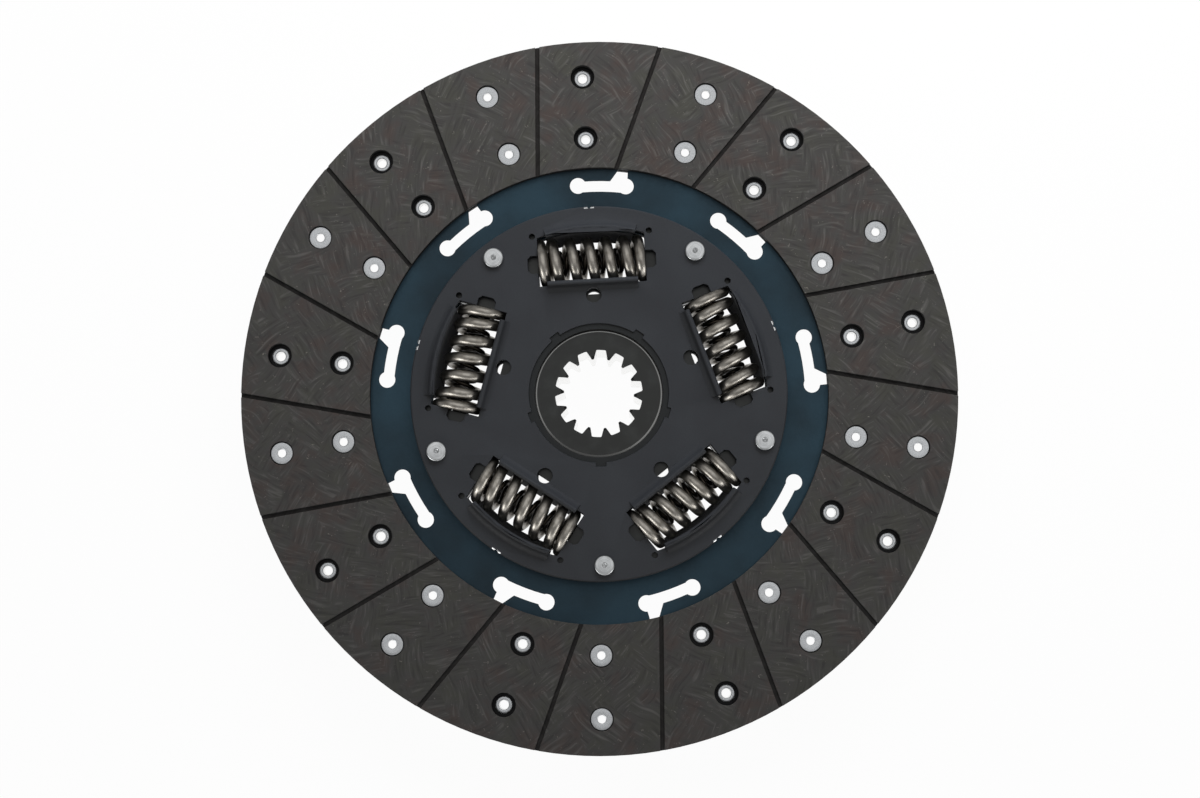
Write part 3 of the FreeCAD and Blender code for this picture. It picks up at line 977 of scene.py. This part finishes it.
@dataclass
class Facings:
    """Both friction facings with their hollow rivets, two of each kind in each paddle."""

    edge_break: float = 0.22
    paddle_count: int = 9
    rivet_circles: tuple[float, float] = (146.2, 117.8)
    front_angle: float = 30.5
    rear_angle: float = 13.0
    bore_radius: float = 1.85
    shank_radius: float = 2.6
    head_radius: float = 5.0
    head_thickness: float = 1.0
    clinch_radius: float = 4.0
    clinch_height: float = 0.75
    flare_radius: float = 2.3
    flare_depth: float = 1.1
    columns: int = 40

    def build(self) -> None:
        """Builds and dresses both facings and both sets of rivets."""
        lining = WoundYarnLining().material()
        zinc = ZincRivetSteel().material()
        for side in Side:
            node = f"{side.value}_facing"
            facing = softened_copy(node, f"{side.value}_lining", self.edge_break)
            settle(facing, node, lining, "disc")
            settle(self.rivets(side), f"{node}_rivets", zinc, "disc")

    def profile(self) -> np.ndarray:
        """Works out the rivet's profile, from the rolled tube end at 0 up to the flat head.

        Returns:
            Points as (radius, height above the tube end's seat).
        """
        low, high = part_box("front_facing_rivets")
        total = (high.z - low.z) / MM
        top = total - self.clinch_height
        seat = top - self.head_thickness
        corners = np.array(
            [
                (self.shank_radius, 0.0),
                (self.shank_radius, seat),
                (self.head_radius, seat),
                (self.head_radius, top),
                (self.bore_radius, top),
                (self.bore_radius, self.flare_depth),
                (self.flare_radius, -self.clinch_height),
                (self.clinch_radius, -self.clinch_height),
                (self.clinch_radius, 0.0),
            ]
        )
        rounds = np.array([0.1, 0.15, 0.2, 0.3, 0.55, 0.3, 0.4, 0.7, 0.05])
        return rounded_profile(corners, rounds, 5)

    def rivets(self, side: Side) -> bpy.types.Object:
        """Builds all rivets of one facing as one piece.

        Args:
            side: The facing that the rivets hold.

        Returns:
            The piece.
        """
        low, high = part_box(f"{side.value}_facing_rivets")
        profile = self.profile()
        points = turned_points(profile, self.columns)
        if side is Side.FRONT:
            points[:, 2] += low.z / MM + self.clinch_height
            first = self.front_angle
        else:
            points[:, 1] *= -1
            points[:, 2] = high.z / MM - self.clinch_height - points[:, 2]
            first = self.rear_angle
        angles = first + 360.0 / self.paddle_count * np.arange(self.paddle_count)
        copies = [placed_round(points, circle, angles) for circle in self.rivet_circles]
        quads = grid_quads(len(profile), self.columns, True, True)
        return piece_from_grids(f"{side.value}_hollow_rivets", np.concatenate(copies), quads)


@dataclass
class CushionDisc:
    """Blued cushion disc with its waved paddles."""

    edge_break: float = 0.12

    def build(self) -> None:
        """Builds and dresses the disc."""
        piece = softened_copy("cushion_disc", "waved_disc", self.edge_break)
        settle(piece, "cushion_disc", BluedSpringSteel().material(), "disc")


@dataclass
class SidePlates:
    """Both side plates with their window lips, the rear ones leaning further under the springs."""

    edge_break: float = 0.25
    rear_face: float = 19.5
    lip_height: float = 2.6
    spring_line: float = 60.6
    arc_lean: float = 2.8
    chord_lean: float = 1.5
    peep_radius: float = 3.4
    peep_circle: float = 44.5
    peep_columns: int = 48

    def build(self) -> None:
        """Builds and dresses both plates."""
        coat = PhosphatedPlate().material()
        for side in Side:
            node = f"{side.value}_side_plate"
            piece = softened_copy(node, f"{side.value}_window_plate", self.edge_break)
            if side is Side.REAR:
                set_mesh_points(piece, self.leaned(mesh_points(piece)))
            cut_away(piece, self.peep_holes(node))
            settle(piece, node, coat, "disc")

    def peep_holes(self, node: str) -> bpy.types.Object:
        """Makes the tool for the round holes beside the windows, which clear the lips' feet too.

        Args:
            node: The plate that the holes go through.

        Returns:
            The tool, as upright rods that are closed at both ends.
        """
        low, high = (corner.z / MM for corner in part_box(node))
        radius = self.peep_radius
        profile = np.array(
            [(0.0, low - 1.0), (radius, low - 1.0), (radius, high + 1.0), (0.0, high + 1.0)]
        )
        angles = WINDOW_ANGLE + 360.0 / WINDOW_COUNT * np.arange(WINDOW_COUNT)
        points = placed_round(turned_points(profile, self.peep_columns), self.peep_circle, angles)
        quads = grid_quads(len(profile), self.peep_columns, False, True)
        tool = piece_from_grids("peep_holes", points, quads)
        work = bmesh.new()
        work.from_mesh(tool.data)
        bmesh.ops.remove_doubles(work, verts=work.verts, dist=0.001 * MM)
        bmesh.ops.recalc_face_normals(work, faces=work.faces)
        work.to_mesh(tool.data)
        work.free()
        return tool

    def leaned(self, points: np.ndarray) -> np.ndarray:
        """Leans the rear plate's lips further over their windows.

        A point that stands below the plate's face moves towards the spring, by the lean times
        its depth below the face over the lip's height: a round lip towards the axis, and a
        straight lip along its window's middle line.

        Args:
            points: The plate's points.

        Returns:
            The new points.
        """
        depth = np.clip((self.rear_face - points[:, 2]) / self.lip_height, 0.0, 1.0)
        flat = points[:, :2]
        radius = np.linalg.norm(flat, axis=1)
        step = 2 * math.pi / WINDOW_COUNT
        first = math.radians(WINDOW_ANGLE)
        angle = np.arctan2(flat[:, 1], flat[:, 0])
        window = first + step * np.round((angle - first) / step)
        middle_line = np.stack([np.cos(window), np.sin(window)], -1)
        beyond = (radius > self.spring_line)[:, None]
        inward = -flat / radius[:, None] * self.arc_lean
        outward = middle_line * self.chord_lean
        moved = points.copy()
        moved[:, :2] += np.where(beyond, inward, outward) * depth[:, None]
        return moved


@dataclass
class CoilSpring:
    """One coil spring along X with closed and ground ends."""

    length: float
    mean_radius: float
    wire_radius: float
    turns: float
    hand: Hand
    start_angle: float = -65.0
    closed_turns: float = 0.9
    opening: float = 0.5
    closed_gap: float = 0.1
    rows_per_turn: int = 40
    columns: int = 24

    def centre_line(self) -> np.ndarray:
        """Works out the wire's centre line.

        The coil advances by a wire's width and a small gap a turn where it is closed. Towards
        the middle the advance grows smoothly to the pitch that makes up the spring's length.

        Returns:
            Points along the wire.
        """
        count = round(self.turns * self.rows_per_turn)
        step = self.turns / count
        middle = (np.arange(count) + 0.5) * step
        from_end = np.minimum(middle, self.turns - middle)
        share = np.clip((from_end - self.closed_turns) / self.opening, 0.0, 1.0)
        openness = share * share * (3 - 2 * share)
        closed_pitch = 2 * self.wire_radius + self.closed_gap
        spare = self.length - closed_pitch * self.turns
        open_pitch = spare / (openness.sum() * step)
        advance = step * (closed_pitch + open_pitch * openness)
        x = np.concatenate([[0.0], np.cumsum(advance)]) - self.length / 2
        turn = 2 * math.pi * step * np.arange(count + 1) * self.hand.value
        turn += math.radians(self.start_angle)
        return np.stack([x, self.mean_radius * np.cos(turn), self.mean_radius * np.sin(turn)], -1)

    def points(self) -> np.ndarray:
        """Carries the round wire along its centre line and grinds both ends flat.

        A point is the centre line's, plus the wire's radius times cos v along the outward
        direction plus sin v along the direction across it, and its X stays within the length.

        Returns:
            Points with shape (rows * columns, 3).
        """
        line = self.centre_line()
        tangent = np.gradient(line, axis=0)
        tangent /= np.linalg.norm(tangent, axis=1, keepdims=True)
        outward = line * np.array([0.0, 1.0, 1.0]) / self.mean_radius
        outward -= (outward * tangent).sum(1, keepdims=True) * tangent
        outward /= np.linalg.norm(outward, axis=1, keepdims=True)
        across = np.cross(tangent, outward)
        v = np.linspace(0.0, 2 * math.pi, self.columns, endpoint=False)[None, :, None]
        ring = np.cos(v) * outward[:, None] + np.sin(v) * across[:, None]
        points = line[:, None] + self.wire_radius * ring
        points[..., 0] = np.clip(points[..., 0], -self.length / 2, self.length / 2)
        return points.reshape(-1, 3)

    def quads(self) -> np.ndarray:
        """Joins the wire's points by quads."""
        return grid_quads(len(self.centre_line()), self.columns, False, True)


@dataclass
class DamperSprings:
    """Five nested pairs of coil springs in the windows."""

    line: float = 60.6
    length: float = 48.5
    longest_travel: float = 8.46
    outer: tuple[float, float, float] = (9.05, 2.45, 6.86)
    inner: tuple[float, float, float] = (4.8, 1.1, 12.5)

    def build(self) -> None:
        """Builds and dresses all springs, each with a mesh of its own."""
        peened = PeenedSpringWire()
        # painted shade: the inner coils' wire is a much darker copy of the outer wire, standing for
        # the shade inside the outer coils
        shade_painted_wire = PeenedSpringWire("shade_painted_spring_wire", "#3a352f", "#211d19", 1.6, 0.38)
        outer = CoilSpring(self.length, *self.outer, Hand.RIGHT)
        inner = CoilSpring(self.length, *self.inner, Hand.LEFT, rows_per_turn=28, columns=14)
        kinds = (
            ("damper_spring", "outer_coil", peened.material(), outer),
            ("inner_spring", "inner_coil", shade_painted_wire.material(), inner),
        )
        for node, name, wire, spring in kinds:
            for i in range(WINDOW_COUNT):
                piece = self.placed(f"{name}_{i + 1}", spring, i)
                settle(piece, f"{node}_{i + 1}", wire, "springs")
                self.flatten(piece, i)

    def angle(self, index: int) -> float:
        """Angle of a window's middle in degrees."""
        return WINDOW_ANGLE + 360.0 / WINDOW_COUNT * index

    def placed(self, name: str, spring: CoilSpring, index: int) -> bpy.types.Object:
        """Places a spring in its window and closes both ends of its wire with a flat face.

        Args:
            name: The piece's name.
            spring: The spring, along X.
            index: The window's number, from 0.

        Returns:
            The piece.
        """
        lying = spring.points()
        upright = np.stack([lying[:, 1], -lying[:, 0], lying[:, 2] + DAMPER_HEIGHT], -1)
        turned = placed_round(upright, self.line, np.array([self.angle(index)]))
        piece = piece_from_grids(name, turned, spring.quads())
        work = bmesh.new()
        work.from_mesh(piece.data)
        bmesh.ops.holes_fill(work, edges=work.edges, sides=spring.columns)
        bmesh.ops.recalc_face_normals(work, faces=work.faces)
        work.to_mesh(piece.data)
        work.free()
        piece.data.shade_smooth()
        piece.data.set_sharp_from_angle(angle=math.radians(40.0))
        return piece

    def flatten(self, piece: bpy.types.Object, index: int) -> None:
        """Gives a spring a mesh of its own; the window's angle is worked out but not used.

        Args:
            piece: The spring.
            index: The window's number, from 0.
        """
        angle = math.radians(self.angle(index))
        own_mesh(piece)


@dataclass
class StopPins:
    """Five stepped pins that hold the plates apart, with a cone in each head."""

    circle: float = 77.6
    angle: float = 55.9
    body_radius: float = 5.25
    tenon_radius: float = 3.5
    head_radius: float = 4.5
    head_height: float = 2.2
    body_low: float = 23.7
    body_high: float = 31.7
    dimple_radius: float = 1.2
    dimple_depth: float = 0.7
    columns: int = 64

    def profile(self) -> np.ndarray:
        """Works out the pin's profile, from its rear end up to its front head.

        Returns:
            Points as (radius, height).
        """
        low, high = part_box("stop_pin_1")
        bottom = low.z / MM
        top = high.z / MM
        corners = np.array(
            [
                (0.02, bottom),
                (self.head_radius, bottom),
                (self.head_radius, bottom + self.head_height),
                (self.tenon_radius, bottom + self.head_height),
                (self.tenon_radius, self.body_low),
                (self.body_radius, self.body_low),
                (self.body_radius, self.body_high),
                (self.tenon_radius, self.body_high),
                (self.tenon_radius, top - self.head_height),
                (self.head_radius, top - self.head_height),
                (self.head_radius, top - 0.12),
                (self.dimple_radius, top),
                (0.02, top - self.dimple_depth),
            ]
        )
        rounds = np.array([0.0, 0.6, 0.1, 0.1, 0.1, 0.15, 0.15, 0.1, 0.1, 0.1, 0.75, 0.3, 0.0])
        return rounded_profile(corners, rounds, 6)

    def build(self) -> None:
        """Builds and dresses the pins."""
        steel = TurnedPinSteel().material()
        profile = self.profile()
        points = turned_points(profile, self.columns)
        chart = turned_chart(profile, self.columns)
        quads = grid_quads(len(profile), self.columns, True, True)
        for i in range(WINDOW_COUNT):
            angle = np.array([self.angle + 360.0 / WINDOW_COUNT * i])
            placed = placed_round(points, self.circle, angle)
            piece = piece_from_grids(f"turned_pin_{i + 1}", placed, quads, chart)
            piece.modifiers.new("flat_heads", "WEIGHTED_NORMAL")
            settle(piece, f"stop_pin_{i + 1}", steel, "disc")


@dataclass
class Hub:
    """Splined hub with its flange, its groove walls as steep as a broach cuts them."""

    edge_break: float = 0.2
    groove_count: int = 14
    groove_angle: float = 9.9
    bore_reach: float = 20.4
    mouth_radius: float = 15.75
    root_radius: float = 19.7
    plain_halves: tuple[float, float] = (3.1, 1.85)
    broached_halves: tuple[float, float] = (2.95, 2.15)

    def build(self) -> None:
        """Builds and dresses the hub."""
        piece = softened_copy("hub", "splined_hub", self.edge_break)
        set_mesh_points(piece, self.broached(mesh_points(piece)))
        settle(piece, "hub", OiledForging().material(), "hub")

    def broached(self, points: np.ndarray) -> np.ndarray:
        """Steepens the walls of the spline's grooves.

        In a groove's own frame, u runs out along its middle and v across it. The wall's half
        width falls in a straight line from mouth to root. A point inside the groove keeps its
        share of the half width, and one beyond keeps its share of the tooth's half width.

        Args:
            points: The hub's points.

        Returns:
            The new points.
        """
        radius = np.linalg.norm(points[:, :2], axis=1)
        inside = radius < self.bore_reach
        step = 2 * math.pi / self.groove_count
        first = math.radians(self.groove_angle)
        angle = np.arctan2(points[:, 1], points[:, 0])
        middle = first + step * np.round((angle - first) / step)
        u = radius * np.cos(angle - middle)
        v = radius * np.sin(angle - middle)
        share = (u - self.mouth_radius) / (self.root_radius - self.mouth_radius)
        plain, steep = (
            mouth + (root - mouth) * share for mouth, root in (self.plain_halves, self.broached_halves)
        )
        side = u * math.tan(step / 2)
        across = np.abs(v)
        in_tooth = steep + (across - plain) * (side - steep) / (side - plain)
        new_v = np.sign(v) * np.where(across <= plain, across * steep / plain, in_tooth)
        moved = points.copy()
        moved[:, 0] = u * np.cos(middle) - new_v * np.sin(middle)
        moved[:, 1] = u * np.sin(middle) + new_v * np.cos(middle)
        return np.where(inside[:, None], moved, points)


@dataclass
class FrictionPack:
    """Bushes, friction rings and the disc spring between plates and flange."""

    def build(self) -> None:
        """Dresses the pieces of the pack."""
        polyamide = MouldedPart("glass_filled_polyamide", "#1b1d1e", "#242627", 0.5, 0.5, 0.2)
        fibre = MouldedPart("pressed_fibre", "#3a3128", "#57503f", 0.7, 0.7)
        bush = polyamide.material()
        ring = fibre.material()
        spring = BluedSpringSteel("bare_disc_spring", "#4b4d50", "#62656a", 9.0, 0.32).material()
        for side in Side:
            dress_node(f"{side.value}_bush", bush)
            dress_node(f"{side.value}_friction_ring", ring)
        dress_node("disc_spring", spring)


@dataclass
class Studio:
    """Pale floor, soft lamps and the camera."""

    floor_half: float = 20.0
    floor_colour: str = "#f4f4f4"
    backdrop_share: float = 0.97
    mirrored_sky: float = 0.36
    diffuse_sky: float = 0.03
    lens: float = 72.86
    camera_distance: float = 1.1
    camera_swing: float = 0.724
    camera_tilt: float = 5.125
    aim: tuple[float, float, float] = (0.452, -2.154, 27.7)

    def build(self) -> None:
        """Builds the whole studio."""
        self.floor()
        self.world()
        self.lamps()
        self.camera()
        bpy.context.scene.view_settings.view_transform = "Standard"

    def floor(self) -> None:
        """Adds the floor. Seen directly or in a mirror it is white, and it keeps the shadow."""
        half = self.floor_half
        corners = [(-half, -half, 0.0), (half, -half, 0.0), (half, half, 0.0), (-half, half, 0.0)]
        mesh = bpy.data.meshes.new("floor")
        mesh.from_pydata(corners, [], [(0, 1, 2, 3)])
        floor = bpy.data.objects.new("floor", mesh)
        bpy.context.scene.collection.objects.link(floor)
        material, tree = empty_material("pale_paper")
        rays = add(tree, "LightPath").outputs
        eyes = [rays["Is Camera Ray"], rays["Is Glossy Ray"]]
        seen = add(tree, "Math", eyes, operation="MAXIMUM")
        shown = add(tree, "Math", [seen, rays["Is Transmission Ray"]], operation="MAXIMUM")
        share = add(tree, "Math", [shown, self.backdrop_share], operation="MULTIPLY")
        paper = add(tree, "BsdfDiffuse", {"Color": linear(self.floor_colour)})
        white = add(tree, "Emission", {"Color": WHITE, "Strength": 1.0})
        add(tree, "OutputMaterial", [add(tree, "MixShader", [share, paper, white])])
        mesh.materials.append(material)

    def world(self) -> None:
        """Sets the light of the room: pale in mirrors and weak on matt surfaces."""
        world = bpy.data.worlds.new("studio")
        world.use_nodes = True
        tree = world.node_tree
        tree.nodes.clear()
        matt = add(tree, "LightPath").outputs["Is Diffuse Ray"]
        strength = add(tree, "MapRange", [matt, 0.0, 1.0, self.mirrored_sky, self.diffuse_sky])
        sky = add(tree, "Background", {"Color": WHITE, "Strength": strength})
        add(tree, "OutputWorld", [sky])
        bpy.context.scene.world = world

    def lamps(self) -> None:
        """Adds a key box beyond the disc, which lights matt surfaces alone, and the mirrored ones.

        A box overhead and three low ones nearer the camera make highlights alone.
        """
        lamps = (
            ("top_softbox", (0.1, 0.45, 1.3), 1.8, 1.3, 7.0, False, True),
            ("far_key", (0.1, 0.55, 0.45), 0.9, 0.4, 7.4, True, False),
            ("left_box", (-0.74, -0.7, 0.42), 0.6, 0.36, 5.0, False, True),
            ("right_box", (0.74, -0.7, 0.42), 0.6, 0.36, 4.0, False, True),
            ("near_fill", (0.0, -1.02, 0.46), 1.0, 0.3, 2.0, False, True),
        )
        for name, place, width, height, power, on_matt, on_shiny in lamps:
            data = bpy.data.lights.new(name, "AREA")
            data.shape = "RECTANGLE"
            data.size, data.size_y = width, height
            data.energy = power
            lamp = bpy.data.objects.new(name, data)
            lamp.location = place
            lamp.visible_diffuse = on_matt
            lamp.visible_glossy = on_shiny
            lamp.rotation_euler = (-Vector(place)).to_track_quat("-Z", "Y").to_euler()
            bpy.context.scene.collection.objects.link(lamp)

    def camera(self) -> None:
        """Adds the camera, which looks down on the disc from a little below the picture."""
        swing = math.radians(self.camera_swing)
        tilt = math.radians(self.camera_tilt)
        back = Vector((math.sin(swing), -math.sin(tilt), 0.0))
        back.z = math.sqrt(1.0 - back.length_squared)
        right = Vector((0.0, 1.0, 0.0)).cross(back).normalized()
        up = back.cross(right)
        place = Vector(self.aim) * MM + back * self.camera_distance
        data = bpy.data.cameras.new("camera")
        data.lens = self.lens
        data.sensor_width = 36.0
        data.clip_start = 0.05
        data.clip_end = 100.0
        camera = bpy.data.objects.new("camera", data)
        turn = Matrix((right, up, back)).transposed()
        camera.matrix_world = Matrix.Translation(place) @ turn.to_4x4()
        bpy.context.scene.collection.objects.link(camera)
        bpy.context.scene.camera = camera


def main() -> None:
    """Loads the frame and builds each sub-assembly in order."""
    logging.basicConfig(level=logging.INFO, format="%(message)s")
    for leftover in list(bpy.data.objects):
        bpy.data.objects.remove(leftover)
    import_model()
    parts = (Facings, CushionDisc, SidePlates, DamperSprings, StopPins, Hub, FrictionPack, Studio)
    for part in parts:
        part().build()


if __name__ == "__main__":
    main()
